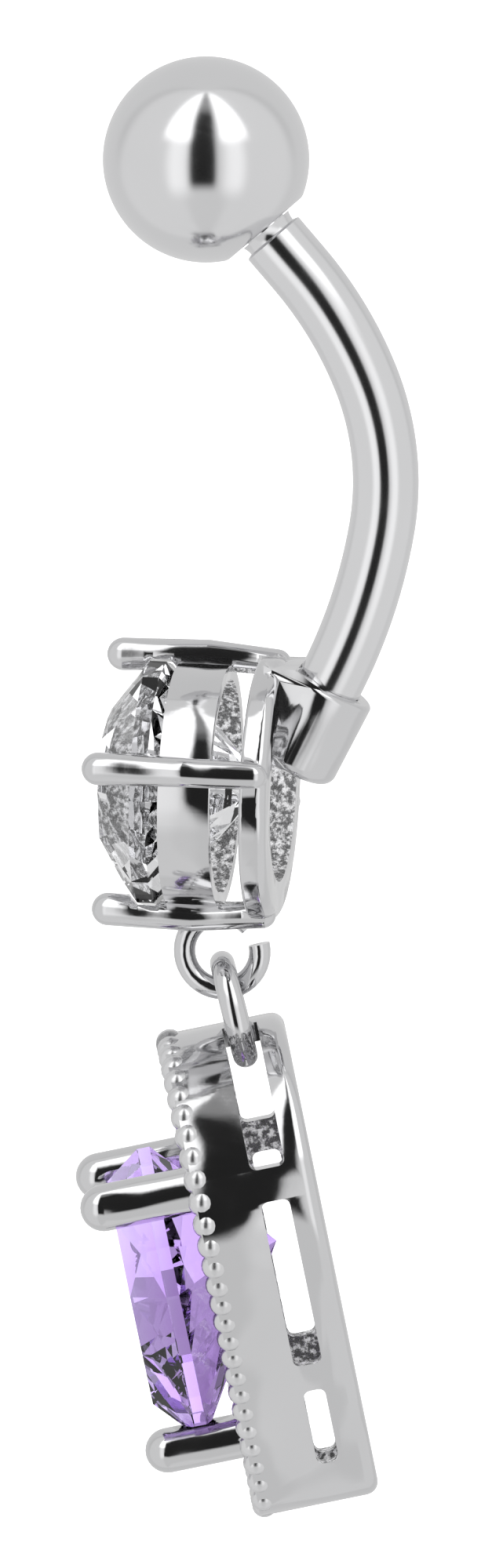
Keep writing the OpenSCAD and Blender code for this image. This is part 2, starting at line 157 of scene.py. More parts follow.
class Shader(Nodes):
    """A material with one Principled surface, patterned on each piece's own place."""

    def __init__(self, name):
        self.material = bpy.data.materials.new(name)
        self.material.use_nodes = True
        super().__init__(self.material.node_tree)
        self.surface = self.tree.nodes["Principled BSDF"]
        self.object_place = self.node("ShaderNodeTexCoord", {}, output="Object")

    def noise(self, scale, detail, rough=0.55, place=None):
        """Soft random clouds: more scale makes them smaller, more detail makes them finer."""
        return self.node("ShaderNodeTexNoise", {
            "Vector": place or self.object_place, "Scale": scale, "Detail": detail,
            "Roughness": rough})

    def mixed(self, amount, low, high):
        """A colour that goes from low to high with the amount."""
        colours = {0: amount, 6: (*low, 1), 7: (*high, 1)}
        return self.node("ShaderNodeMix", colours, {"data_type": "RGBA"}, 2)

    def set(self, **inputs):
        """Fills inputs of the surface. An underscore in a name stands for a space."""
        for key, value in inputs.items():
            plug(self.tree, self.surface.inputs[key.replace("_", " ")], value)

    def bump(self, height, strength, distance):
        """Lets the surface look uneven, by a height and a distance in metres."""
        self.set(Normal=self.node("ShaderNodeBump", {
            "Height": height, "Strength": strength, "Distance": distance}))


print("helper", Shader.__name__)

# %% [markdown]
# The bar and the ball are turned and polished steel, nearly a mirror, with a few hair scratches. The
# castings are plated white, and slow waves in their polish bend what they mirror. The fine beads
# are only brushed over, so they are duller. A perfectly even mirror looks unreal, so the roughness
# and the height wander, by the same recipe in different amounts.

# %% Polished metals
WORN = 0.93  # how bright the worn spots are, as a share of the tint
FINE_WAVE = 0.012  # height of the fine unevenness, as a share of the slow waves
HAIR_WAVE = 0.004  # depth of the hair scratches, as a share of the same


def polished(name, tint, rough, grain, scratch, wave):
    """Bright metal: a roughness that wanders, fine hair scratches and slow waves of wave metres."""
    make = Shader(name)
    cloud = make.noise(scale=900.0, detail=4.0)
    stretched = make.node("ShaderNodeMapping", {
        "Vector": make.object_place, "Scale": (9000.0, 700.0, 700.0)})
    hair = make.noise(scale=1.0, detail=2.0, rough=0.4, place=stretched)
    wear = make.noise(scale=260.0, detail=2.0)
    make.set(Metallic=1.0, Roughness=rough + grain * cloud + scratch * hair ** 3.0)
    make.set(Base_Color=make.mixed(wear, tuple(WORN * c for c in tint), tint))
    slow = make.noise(scale=420.0, detail=1.0, rough=0.4)
    make.bump(slow + FINE_WAVE * cloud + HAIR_WAVE * hair, strength=1.0, distance=wave)
    return make.material


steel = polished("bar_steel", (0.80, 0.80, 0.81),
                 rough=0.10, grain=0.05, scratch=0.12, wave=0.00001)
white_metal = polished("plated_metal", (0.72, 0.72, 0.73),
                       rough=0.05, grain=0.05, scratch=0.08, wave=0.0003)
bead_metal = polished("bead_metal", (0.78, 0.78, 0.79),
                      rough=0.2, grain=0.1, scratch=0.05, wave=0.0001)
print("metals", steel.name, white_metal.name, bead_metal.name)

# %% [markdown]
# No polishing tool reaches the inner faces of a casting, so they keep the grain of the mould. Real
# lumps would take far too many faces, so they are noise in the colour and the bump. Light bounces
# about in such hollows more often than a short render follows, so the lumps glow a little: painted
# light that stands in for that bounced light.

# %% Raw metal
LUMP_LEVEL = 0.46  # noise above this is a lump
LUMP_CONTRAST = 7.0
BETWEEN = 0.3  # how bright the metal is between the lumps, as a share of its tint
UNLIT = (0.03, 0.03, 0.03)
# The lumps' glow is painted light, standing in for light bounced about the hollows
HOLLOW_LIGHT = 0.4  # how much light the lumps give off


def cast_grain_and_glow(name, tint):
    """Metal as it came from the mould: lumpy and pitted, bright on the lumps with a painted glow,
    dark between.
    """
    make = Shader(name)
    lumps = make.noise(scale=5500.0, detail=4.0, rough=0.7)
    pits = make.noise(scale=12000.0, detail=3.0, rough=0.6)
    bright = ((lumps - LUMP_LEVEL) * LUMP_CONTRAST).clamped()
    make.set(Metallic=0.6, Roughness=0.12 + 0.3 * pits)
    make.set(Base_Color=make.mixed(bright, tuple(BETWEEN * c for c in tint), tint))
    # Painted glow on the lumps in place of bounced light; none between them
    make.set(Emission_Color=make.mixed(bright, UNLIT, tint))
    make.set(Emission_Strength=HOLLOW_LIGHT)
    make.bump(lumps * 0.7 + pits * 0.3, strength=1.0, distance=0.00025)
    return make.material


glowing_raw_metal = cast_grain_and_glow("raw_casting", (0.86, 0.86, 0.87))
print("metal", glowing_raw_metal.name)

# %% [markdown]
# The stones are cut from one clear material, the pear one tinted violet. Glass of real zirconia's
# strength would throw most light back at odd angles and look nearly black among so much metal, so
# these bend light less. The tint deepens from front to back, as it does where light runs further
# through a stone, and a trace of uneven polish keeps the facets from being perfect.

# %% Stones
CLOUDING = 0.3  # how far the tint wanders, as a share of the stone's depth
POLISH = 0.015  # the most that a facet is roughened


def gem(name, tint, deep, bend, front, back):
    """A stone that is lightest where Y is front and deepest in colour where Y is back, in mm."""
    make = Shader(name)
    cloud = make.noise(scale=420.0, detail=2.0)
    place_y = make.node("ShaderNodeSeparateXYZ", {"Vector": make.object_place}, output="Y")
    depth = (place_y - front * MM) / ((back - front) * MM) + CLOUDING * cloud - CLOUDING / 2
    make.set(Base_Color=make.mixed(depth.clamped(), tint, deep), Roughness=POLISH * cloud)
    make.set(Transmission_Weight=1.0, IOR=bend)
    make.bump(make.noise(scale=1500.0, detail=2.0), strength=0.02, distance=0.00001)
    return make.material


clear_gem = gem("clear_stone", (0.99, 0.99, 1.0), (0.96, 0.965, 0.98),
                bend=1.45, front=-7.0, back=-3.0)
violet_gem = gem("violet_stone", (0.74, 0.70, 0.99), (0.44, 0.24, 0.72),
                 bend=1.5, front=-7.2, back=-4.6)
print("stones", clear_gem.name, violet_gem.name)

# %% [markdown]
# The bar is drawn wire, bent over formers, in three bends that run into each other. A curve drawn
# by eye would wander, so its path is worked out from the bends' radii and leans, which repeat the
# source's. The origin is where the bar stands upright.

# %% The bar's path
MID_BEND_R = 6.74
UPPER_BEND_R = 9.52
LOWER_BEND_R = 13.29
MID_TOP_LEAN = 22.4
MID_LOW_LEAN = 9.8
TOP_LEAN = 41.0
LOW_LEAN = 27.3
TOP_STRAIGHT = 0.97
BAR_INSERT = 1.7
JOIN = 0.06  # how far below the shoulder the swept wire stops


def arc_points(centre, radius, start, end, steps):
    """Points of an arc in a plane, from one angle in degrees to another."""
    angles = [math.radians(start + (end - start) * i / steps) for i in range(steps + 1)]
    return [(centre[0] + radius * math.cos(a), centre[1] + radius * math.sin(a)) for a in angles]


def bend_centre(radius, lean, sign):
    """The centre of a bend that runs on from the middle bend at the given lean."""
    angle = math.radians(lean)
    shift = MID_BEND_R - radius
    return (-MID_BEND_R + shift * math.cos(angle), sign * shift * math.sin(angle))


def in_side_plane(points):
    """Points (y, z) as places in the plane that the bar is bent in."""
    return [(0.0, y, z) for y, z in points]


upper_c = bend_centre(UPPER_BEND_R, MID_TOP_LEAN, 1)
lower_c = bend_centre(LOWER_BEND_R, MID_LOW_LEAN, -1)
mid_c = (-MID_BEND_R, 0)
lower_arc = arc_points(lower_c, LOWER_BEND_R, -LOW_LEAN, -MID_LOW_LEAN, steps=14)
mid_arc = arc_points(mid_c, MID_BEND_R, -MID_LOW_LEAN, MID_TOP_LEAN, steps=22)
upper_arc = arc_points(upper_c, UPPER_BEND_R, MID_TOP_LEAN, TOP_LEAN, steps=16)
low_lean, top_lean = math.radians(LOW_LEAN), math.radians(TOP_LEAN)
socket_foot = (lower_arc[0][0] - BAR_INSERT * math.sin(low_lean),
               lower_arc[0][1] - BAR_INSERT * math.cos(low_lean))
straight = TOP_STRAIGHT - JOIN
shoulder = (upper_arc[-1][0] - straight * math.sin(top_lean),
            upper_arc[-1][1] + straight * math.cos(top_lean))
bar_path = in_side_plane([socket_foot] + lower_arc + mid_arc[1:] + upper_arc[1:] + [shoulder])
print("bar path", len(bar_path), "points")

# %% [markdown]
# What follows a path is made by Geometry Nodes: a plain chain of edges goes in, and a wire or a row
# of beads comes out. A curve object with a bevel could give the wire too, but a group keeps its
# sizes as named inputs, which the same script can fill in differently for each piece.

# %% Shapes from geometry nodes


class Shaper(Nodes):
    """A geometry group whose inputs are a mesh, named sizes and a material."""

    def __init__(self, name, sizes):
        super().__init__(bpy.data.node_groups.new(name, "GeometryNodeTree"))
        sockets = self.tree.interface
        sockets.new_socket("Geometry", in_out="INPUT", socket_type="NodeSocketGeometry")
        for label, value in sizes.items():
            kind = "NodeSocketInt" if isinstance(value, int) else "NodeSocketFloat"
            sockets.new_socket(label, in_out="INPUT", socket_type=kind).default_value = value
        sockets.new_socket("Material", in_out="INPUT", socket_type="NodeSocketMaterial")
        sockets.new_socket("Geometry", in_out="OUTPUT", socket_type="NodeSocketGeometry")
        self.start = self.node("NodeGroupInput", {})

    def given(self, label):
        """What the group's input of that name holds."""
        return self.start.output(label)

    def closed(self, shape):
        """The last nodes of every group: smooth and real geometry with its material."""
        smooth = self.node("GeometryNodeSetShadeSmooth", {"Geometry": shape})
        real = self.node("GeometryNodeRealizeInstances", {"Geometry": smooth})
        paint = self.node("GeometryNodeSetMaterial", {
            "Geometry": real, "Material": self.given("Material")})
        end = self.tree.nodes.new("NodeGroupOutput")
        plug(self.tree, end.inputs["Geometry"], paint)
        return self.tree


print("helper", Shaper.__name__)

# %% [markdown]
# Wire is one thickness all along, whatever it is bent into. The group turns the chain of edges into
# a curve and draws a circle along it, and closes the ends, so that the wire is a solid.

# %% Round wire


def wire_group():
    """A round wire along a chain of edges."""
    tree = Shaper("round_wire", {"Wire radius": 0.001, "Sides": 32})
    curve = tree.node("GeometryNodeMeshToCurve", {"Mesh": tree.given("Geometry")})
    ring = tree.node("GeometryNodeCurvePrimitiveCircle", {
        "Resolution": tree.given("Sides"), "Radius": tree.given("Wire radius")})
    return tree.closed(tree.node("GeometryNodeCurveToMesh", {
        "Curve": curve, "Profile Curve": ring, "Fill Caps": True}))


round_wire = wire_group()
print("group", round_wire.name, len(round_wire.nodes), "nodes")

# %% [markdown]
# A group does its work as a modifier. Its inputs are set by their identifiers before the object is
# looked at for the first time, and what comes out is taken as a plain mesh, so that nothing live
# is left behind for the export to run again.

# %% Running a group


def path_mesh(name, points, closed):
    """A chain of edges through points in millimetres."""
    mesh = bpy.data.meshes.new(name)
    count = len(points)
    edges = [(i, i + 1) for i in range(count - 1)] + ([(count - 1, 0)] if closed else [])
    mesh.from_pydata([Vector(p) * MM for p in points], edges, [])
    return mesh


def grown(name, mesh, group, sizes, material):
    """Runs a geometry group on a mesh and returns the plain mesh that comes out."""
    holder = bpy.data.objects.new(name + "_source", mesh)
    bpy.context.scene.collection.objects.link(holder)
    step = holder.modifiers.new("shape", "NODES")
    step.node_group = group
    names = {item.name: item.identifier for item in group.interface.items_tree
             if item.in_out == "INPUT"}
    for label, value in sizes.items():
        step[names[label]] = value
    step[names["Material"]] = material
    holder.update_tag()
    view = bpy.context.evaluated_depsgraph_get()
    view.update()
    out = bpy.data.meshes.new_from_object(holder.evaluated_get(view))
    out.name = name
    holder.modifiers.clear()
    bpy.data.objects.remove(holder)
    return out


print("sizes of", round_wire.name, [item.name for item in round_wire.interface.items_tree])

# %% [markdown]
# Now the wire can be swept along the bar's path. The bar shows long, thin lines of light, which a
# wire with few sides would break up, so it gets more of them than the thin link will.

# %% Bar
BAR_D = 1.6

wire = grown("bar", path_mesh("bar_path", bar_path, False), round_wire,
             {"Wire radius": BAR_D / 2 * MM, "Sides": 64}, steel)
print("bar", len(wire.polygons), "faces")

# %% [markdown]
# Each piece that is made here is put at the origin with its place in its mesh. It then says which
# body carries it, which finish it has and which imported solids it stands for, so that it moves with
# the joints and takes the right solids' place. All pieces do this alike, so one function does it.

# %% Adding a piece


def finished(name, mesh, material, body, slot, *stands_for):
    """Puts a mesh in the scene at the origin and says what it is."""
    piece = bpy.data.objects.new(name, mesh)
    bpy.context.scene.collection.objects.link(piece)
    if material is not None:
        mesh.materials.clear()
        mesh.materials.append(material)
    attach(piece, body)
    if stands_for:
        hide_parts(*stands_for)
    print(name, len(mesh.polygons), "faces")
    return piece


# %% [markdown]
# The ball and the bar's end are turned on a lathe. A Screw or a Spin would do, but points would be
# left to merge at the poles, so the profile is revolved here and each pole gets one point.

# %% Turned shapes
ON_AXIS = 1e-6
TURNED_CORNER = 35


def turned(name, profile, matrix, sides):
    """A mesh of [radius, height] points revolved about Z, in millimetres, then placed by matrix."""
    mesh = bpy.data.meshes.new(name)
    shape = bmesh.new()
    rings = []
    for radius, height in profile:
        if radius < ON_AXIS:
            rings.append([shape.verts.new((0, 0, height))])
            continue
        angles = [2 * math.pi * i / sides for i in range(sides)]
        rings.append([shape.verts.new((radius * math.cos(a), radius * math.sin(a), height))
                      for a in angles])
    for low, high in zip(rings, rings[1:]):
        for i in range(sides):
            n = (i + 1) % sides
            if len(low) == 1:
                shape.faces.new((low[0], high[n], high[i]))
            elif len(high) == 1:
                shape.faces.new((low[i], low[n], high[0]))
            else:
                shape.faces.new((low[i], low[n], high[n], high[i]))
    for face in shape.faces:
        face.smooth = True
    bmesh.ops.recalc_face_normals(shape, faces=shape.faces)
    shape.transform(Matrix.Scale(MM, 4) @ matrix)
    shape.to_mesh(mesh)
    shape.free()
    mesh.set_sharp_from_angle(angle=math.radians(TURNED_CORNER))
    return mesh


print("an edge over", TURNED_CORNER, "degrees stays sharp on a turned shape")

# %% [markdown]
# At its upper end the bar is turned down to a neck, and the ball screws on a stud that shows only
# when the ball is off. The thread is left out, because it is hidden, and the end is one turned
# profile with small chamfers, which starts JOIN below the shoulder, where the swept wire stops.

# %% Bar's end
NECK_D = 1.42
NECK_LEN = 0.26
NECK_FLARE = 0.05  # how much the neck widens towards the ball
STUD_D = 1.1
STUD_LEN = 2.2
STUD_TIP_IN = 0.05  # how much the chamfer takes off the stud's tip
CHAMFER = 0.03
STEP = 0.001  # rise of the ring between neck and stud
AT_BAR_TOP = Matrix.Translation((0, *upper_arc[-1])) @ Matrix.Rotation(top_lean, 4, "X")

waist = NECK_D / 2 - NECK_FLARE
neck_top = TOP_STRAIGHT + NECK_LEN
bar_end = [(0.0, TOP_STRAIGHT - JOIN), (BAR_D / 2, TOP_STRAIGHT - JOIN),
           (BAR_D / 2, TOP_STRAIGHT - CHAMFER), (BAR_D / 2 - CHAMFER, TOP_STRAIGHT),
           (waist, TOP_STRAIGHT + CHAMFER)]
bar_end += [(waist + NECK_FLARE * t * t, TOP_STRAIGHT + CHAMFER + (NECK_LEN - CHAMFER) * t)
            for t in (0.25, 0.5, 0.75, 1.0)]
bar_end += [(STUD_D / 2, neck_top + STEP), (STUD_D / 2, neck_top + STUD_LEN),
            (STUD_D / 2 - STUD_TIP_IN, neck_top + STUD_LEN + CHAMFER),
            (0.0, neck_top + STUD_LEN + CHAMFER)]
turned_end = turned("bar_neck", bar_end, AT_BAR_TOP, sides=64)


def joined(name, meshes):
    """One mesh from several."""
    whole = bmesh.new()
    for mesh in meshes:
        whole.from_mesh(mesh)
    out = bpy.data.meshes.new(name)
    whole.to_mesh(out)
    whole.free()
    return out


whole_bar = joined("bar", [wire, turned_end])
finished("bar", whole_bar, steel, "bar_and_basket", "bar_metal", "curved_bar")

# %% [markdown]
# The ball is turned from rod: a true sphere with a small flat towards the bar and a blind hole for
# the stud. It is revolved as one profile, so that the hole, its mouth and the flat's fine round
# belong to one closed shape.

# %% Ball
BALL_D = 5.0
BALL_FLAT_D = 2.37
STUD_GAP = 0.03
MOUTH = 0.05  # chamfer at the mouth of the hole
FLAT_ROUND = 0.04  # how much of the flat its rounded edge takes
ROUND_TURN = 1.2  # degrees of the ball that the same round takes

flat_out = math.sqrt((BALL_D / 2) ** 2 - (BALL_FLAT_D / 2) ** 2)
flat_at = neck_top + STUD_GAP
ball_c = flat_at + flat_out
bore_r = STUD_D / 2 + STUD_GAP
bore_end = flat_at + STUD_LEN + STUD_GAP
rim = math.degrees(math.asin(-flat_out / (BALL_D / 2)))
ball = [(0.0, bore_end), (bore_r, bore_end), (bore_r, flat_at + MOUTH), (bore_r + MOUTH, flat_at),
        (BALL_FLAT_D / 2 - FLAT_ROUND, flat_at)]
ball += arc_points((0, ball_c), BALL_D / 2, rim + ROUND_TURN, 90, steps=72)
ball[-1] = (0.0, ball_c + BALL_D / 2)
whole_ball = turned("ball", ball, AT_BAR_TOP, sides=128)
finished("ball", whole_ball, steel, "ball", "bar_metal", "ball_end")

# %% [markdown]
# The basket leans a little with the bar's foot. The link hangs from the basket's eyelet, leaned
# back and turned, and its foot carries the drop. Their places are those of the source. A frame of
# its own, with Y up and Z to the front, makes each of them as easy to measure as if it hung straight.

# %% Where the basket, the link and the drop hang
BASKET_PLACE = Vector((0, -2.5047, -7.5806))
BASKET_LEAN = 1.5
LINK_TOP = Vector((0, -4.0047, -11.9006))
LINK_R = 1.158
LINK_LEAN = 14.0
HANG_TURN = 10.0
DROP_LEAN = 11.4


def turned_front(place, lean, turn):
    """The matrix of a frame with Y up and Z to the front, leaned about X, then turned about Z."""
    spin = Matrix.Rotation(math.radians(turn), 4, "Z") @ Matrix.Rotation(math.radians(lean), 4, "X")
    return Matrix.Translation(place) @ spin @ Matrix.Rotation(math.radians(90), 4, "X")


link_down = Matrix.Rotation(math.radians(HANG_TURN), 3, "Z") @ Vector(
    (0, math.sin(math.radians(LINK_LEAN)), -math.cos(math.radians(LINK_LEAN))))
LINK_FOOT = LINK_TOP + 2 * LINK_R * link_down
AT_BASKET = turned_front(BASKET_PLACE, -BASKET_LEAN, 0)
AT_DROP = turned_front(LINK_FOOT, DROP_LEAN, HANG_TURN)
to_basket = (Matrix.Scale(MM, 4) @ AT_BASKET).inverted()
to_drop = (Matrix.Scale(MM, 4) @ AT_DROP).inverted()
print("drop frame at", tuple(round(v, 3) for v in LINK_FOOT))

# %% [markdown]
# A cast and tumbled edge is never sharp, so it catches a line of light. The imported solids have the
# right form with hard edges, so each casting is a copy of one: doubles are merged, flat faces
# joined up and chosen edges bevelled. One Bevel modifier would shrink every bevel to suit the
# shortest edge of all, so the edges are picked by their place and each kind gets a width of its own.

# %% Softened copies
SAME_POINT = 2e-7  # metres
FLAT_WITHIN = 0.3  # degrees, as are the next two
HARD_EDGE = 45
CAST_CORNER = 38
OUTWARD, INWARD = 1, -1


def softened(node, name, rounds, inner):
    """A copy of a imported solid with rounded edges. Faces for which inner(...) holds stay raw.

    Each round is a width in millimetres, a number of segments, whether its edges point outward
    or inward, and a test that picks them.
    """
    shape = bmesh.new()
    shape.from_mesh(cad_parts[node].data)
    shape.transform(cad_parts[node].matrix_world)
    bmesh.ops.remove_doubles(shape, verts=shape.verts, dist=SAME_POINT)
    bmesh.ops.dissolve_limit(shape, angle_limit=math.radians(FLAT_WITHIN), verts=shape.verts,
                             edges=shape.edges)
    for width, segments, sign, picks in rounds:
        edges = [e for e in shape.edges if len(e.link_faces) == 2
                 and sign * e.calc_face_angle_signed(0) > math.radians(HARD_EDGE) and picks(e)]
        bmesh.ops.bevel(shape, geom=edges, offset=width * MM, offset_type="OFFSET",
                        segments=segments, profile=0.5, affect="EDGES", clamp_overlap=True)
        print(name, len(edges), "edges rounded by", width)
    out = bpy.data.meshes.new(name)
    shape.to_mesh(out)
    shape.free()
    out.materials.clear()
    out.materials.append(white_metal)
    out.materials.append(glowing_raw_metal)
    for face in out.polygons:
        face.use_smooth = True
        face.material_index = 1 if inner(face) else 0
    out.set_sharp_from_angle(angle=math.radians(CAST_CORNER))
    return out


print("an edge over", HARD_EDGE, "degrees can be rounded")

# %% [markdown]
# The basket is one casting: a socket for the bar, a base ring, a rail, four prongs and the eyelet.
# The round edges of ring and rail show most as lines of light, so they are softened. The faces that
# look inwards at the stone's back were never polished.

# %% Basket
INNER_FROM = 1.9  # the inner walls lie between these distances from the axis
INNER_TO = 2.9
BASKET_BACK = -0.3
BASKET_FRONT = 3.0
LOOKS_IN = -0.4  # a face looks inwards if it agrees less than this with the way out
LEVEL = 0.01  # lengths that differ by less count as the same


def basket_inside(face):
    """Faces of the rail and the ring that look towards the basket's axis."""
    place = to_basket @ face.center
    facing = (to_basket.to_3x3() @ face.normal).normalized()
    radial = Vector((place.x, place.y, 0))
    walls = INNER_FROM < radial.length < INNER_TO and BASKET_BACK < place.z < BASKET_FRONT
    return walls and facing.dot(radial.normalized()) < LOOKS_IN


def on_rings(edge):
    """Round edges of the basket's base ring and rail: one radius and one height all along."""
    ends = [to_basket @ v.co for v in edge.verts]
    reach = [Vector((p.x, p.y)).length for p in ends]
    return abs(reach[0] - reach[1]) < LEVEL and abs(ends[0].z - ends[1].z) < LEVEL


basket = softened("stone_setting", "basket", [(0.07, 3, OUTWARD, on_rings)], basket_inside)
finished("basket", basket, None, "bar_and_basket", "cast_metal", "stone_setting")

# %% [markdown]
# The drop is a hollow casting. Seen from the front it is a large circle and a small one, joined by
# the two straight lines that touch both. The same few values tell whether a point is on that
# outline, and later where the beads run.

# %% The drop's outline
DROP_TOP = 0.85
DROP_R = 4.0
DROP_TIP_R = 0.8
DROP_H = 12.1
NEAR = 0.03  # a point closer than this to a face counts as on it

top_c = DROP_TOP - DROP_R
tip_c = DROP_TOP - DROP_H + DROP_TIP_R
flank_lean = math.asin((DROP_R - DROP_TIP_R) / (top_c - tip_c))


def on_skin(point):
    """Whether a point of the drop's frame lies on its outer outline: a flank or the round top."""
    out = Vector((math.cos(flank_lean), -math.sin(flank_lean)))
    flank = abs(point.x) * out.x + (point.y - top_c) * out.y
    if abs(flank - DROP_R) < NEAR:
        return True
    at_top = point.y > top_c - DROP_R * math.sin(flank_lean)
    return at_top and abs(math.hypot(point.x, point.y - top_c) - DROP_R) < NEAR


print("the drop's flanks lean by", round(math.degrees(flank_lean), 2), "degrees")

# %% [markdown]
# The drop's worn outline is round at the back and at the rim, and the slots in its side band have
# round corners and soft mouths. Each kind of edge lies in a place of its own in the drop's frame,
# which is how it is picked, so that no list of edge numbers is needed.

# %% Edges of the drop
BAND_FRONT = 1.69
BAND_BACK = -1.09
RIM_RISE = 0.2
BELOW_BRIDGE = -1.0
SLOT_REACH = 0.545  # a slot's corner is closer than this to the slots' middle plane
SLOT_WALL = (0.3, 1.2)  # how long an edge through the wall can be
STRAIGHT_THROUGH = 0.99  # the share of that length which runs sideways
SKIN_FROM = BAND_BACK + 0.3
SKIN_TO = BAND_FRONT - 0.1


def drop_ends(edge):
    """Both ends of an edge in the drop's frame."""
    return [to_drop @ v.co for v in edge.verts]


def back_edge(edge):
    """The drop's outline at its back."""
    return all(abs(p.z - BAND_BACK) < LEVEL for p in drop_ends(edge))


def rim_edge(edge):
    """The drop's outline at the top of its front rim."""
    return all(abs(p.z - BAND_FRONT - RIM_RISE) < LEVEL and on_skin(p) for p in drop_ends(edge))


def slot_corner(edge):
    """Corners of the slots below the bridge: short edges that run straight through the wall."""
    low, high = drop_ends(edge)
    length = (high - low).length
    through = abs(high.x - low.x) > STRAIGHT_THROUGH * length
    right_length = SLOT_WALL[0] < length < SLOT_WALL[1]
    return through and right_length and low.y < BELOW_BRIDGE and abs(low.z) < SLOT_REACH


def skin_edge(edge):
    """Edges of the slots on the drop's outer skin."""
    return all(on_skin(p) and SKIN_FROM < p.z < SKIN_TO for p in drop_ends(edge))


pickers = (back_edge, rim_edge, slot_corner, skin_edge)
print("edges are picked by", [picker.__name__ for picker in pickers])

# %% [markdown]
# The hollow behind the front plate was never polished either. It shows through the slots as bright
# grain with a painted glow, which is what makes the band look deep.

# %% Drop
BACK_T = 0.45
FRONT_T = 0.7
BAND_LOOKS_IN = -0.2  # a band's face looks inwards if it agrees less than this with the way out
PLATE_FACES = 0.8  # a face belongs to a plate if it agrees more than this with the front


def drop_inside(face):
    """Faces of the drop's hollow: between the plates and inside the side band's skin."""
    place = to_drop @ face.center
    facing = (to_drop.to_3x3() @ face.normal).normalized()
    hollow = BAND_BACK + BACK_T - NEAR < place.z < BAND_FRONT - FRONT_T + NEAR
    outward = Vector((place.x, place.y - top_c, 0)).normalized().dot(facing)
    return hollow and (outward < BAND_LOOKS_IN or abs(facing.z) > PLATE_FACES)


cast_drop = softened("drop_frame", "drop_casting", [
    (0.32, 5, OUTWARD, back_edge), (0.2, 4, OUTWARD, rim_edge), (0.17, 4, INWARD, slot_corner),
    (0.12, 3, OUTWARD, skin_edge)], drop_inside)
finished("drop_casting", cast_drop, None, "drop", "cast_metal", "drop_frame")

# %% [markdown]
# The link is a plain closed ring of wire, soldered shut. A torus would do, but the wire group is
# already there, so the link is one circle of points that it sweeps.

# %% Link
LINK_WIRE = 0.6
LINK_STEPS = 72

across = Vector((math.cos(math.radians(HANG_TURN)), math.sin(math.radians(HANG_TURN)), 0))
ring_c = LINK_FOOT - LINK_R * link_down
angles = [2 * math.pi * i / LINK_STEPS for i in range(LINK_STEPS)]
ring = [ring_c + LINK_R * (math.cos(a) * across + math.sin(a) * link_down) for a in angles]
link = grown("link", path_mesh("link_path", ring, True), round_wire,
             {"Wire radius": LINK_WIRE / 2 * MM, "Sides": 32}, white_metal)
finished("link", link, white_metal, "link", "cast_metal", "jump_link")

# %% [markdown]
# Round the front edge runs a row of fine beads, rolled into the wax before casting. They sit at an
# even spacing and shrink a little towards the drop's point. Copies placed one by one would have to
# be measured out by hand, so a group spaces points along the outline and puts a ball on each.

# %% Bead group


def bead_group():
    """Beads at an even spacing along a chain of edges, smaller towards its middle."""
    tree = Shaper("bead_row", {
        "Spacing": 0.001, "Bead radius": 0.001, "Low share": 0.8, "Sides": 16})
    curve = tree.node("GeometryNodeMeshToCurve", {"Mesh": tree.given("Geometry")})
    # How far along the curve a point lies is lost with the curve, so it is captured first
    keep = tree.tree.nodes.new("GeometryNodeCaptureAttribute")
    keep.capture_items.new("FLOAT", "Share")
    plug(tree.tree, keep.inputs["Geometry"], curve)
    along = tree.node("GeometryNodeSplineParameter", {}, output="Factor")
    plug(tree.tree, keep.inputs["Share"], along)
    share = Field(tree.tree, keep.outputs["Share"])
    spaced = tree.node("GeometryNodeCurveToPoints", {
        "Curve": share.output("Geometry"), "Length": tree.given("Spacing")}, {"mode": "LENGTH"})
    bead = tree.node("GeometryNodeMeshUVSphere", {
        "Segments": tree.given("Sides"), "Rings": 10, "Radius": tree.given("Bead radius")})
    low_share = tree.given("Low share")
    from_middle = (share * 2.0 - 1.0).math("ABSOLUTE")
    size = low_share + (1.0 - low_share) * from_middle
    return tree.closed(tree.node("GeometryNodeInstanceOnPoints", {
        "Points": spaced, "Instance": bead, "Scale": size}))


bead_row = bead_group()
print("group", bead_row.name, len(bead_row.nodes), "nodes")

# %% [markdown]
# The beads follow the drop's own outline: a large round at the top, straight flanks and a small
# round at the tip. It is moved in by less than a bead's radius, so they stand a little proud of
# the skin, as they do on the real edge.

# %% Beads
BEAD_INSET = 0.25
BEAD_R = 0.35
BEAD_PITCH = 0.54
BEAD_LIFT = 0.05
BEAD_LOW_SHARE = 0.88


def pear_outline(inset, steps):
    """Points round the drop's outline, moved inwards, from the top down the right side and back."""
    radius, tip = DROP_R - inset, DROP_TIP_R - inset
    lean = math.degrees(math.asin((radius - tip) / (top_c - tip_c)))
    right = arc_points((0, top_c), radius, 90, -lean, steps)
    right += arc_points((0, tip_c), tip, -lean, -90, steps // 3)
    left = [(-x, y) for x, y in reversed(right[1:-1])]
    return right + left


outline = [AT_DROP @ Vector((x, y, BAND_FRONT + BEAD_LIFT))
           for x, y in pear_outline(BEAD_INSET, steps=60)]
outline.append(outline[0])
beads = grown("beads", path_mesh("bead_path", outline, False), bead_row,
              {"Spacing": BEAD_PITCH * MM, "Bead radius": BEAD_R * MM,
               "Low share": BEAD_LOW_SHARE, "Sides": 16}, bead_metal)
finished("beads", beads, bead_metal, "drop", "cast_metal")

# %% [markdown]
# The stones are cut flat, facet by facet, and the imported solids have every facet. Smoothing or a
# rebuild would only blur them, so they stay as they are and just take their own materials.

# %% Stones in place


def painted(node, material):
    """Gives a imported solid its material."""
    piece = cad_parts[node]
    for place in piece.material_slots:
        place.material = material
    print(node, len(piece.data.polygons), "faces")


painted("round_stone", clear_gem)
painted("halo_stones", clear_gem)
painted("pear_stone", violet_gem)

# %% [markdown]
# The jewel hangs over a white floor that runs into a white distance. A floor lit by the world alone
# would show as pale grey, so it gives off a little light too. It is hidden from mirror rays, because
# a white sheet below would wash out the dark lines that make the metal look like metal.

# %% Floor
FLOOR_REACH = 3.0
FLOOR_Z = -0.06

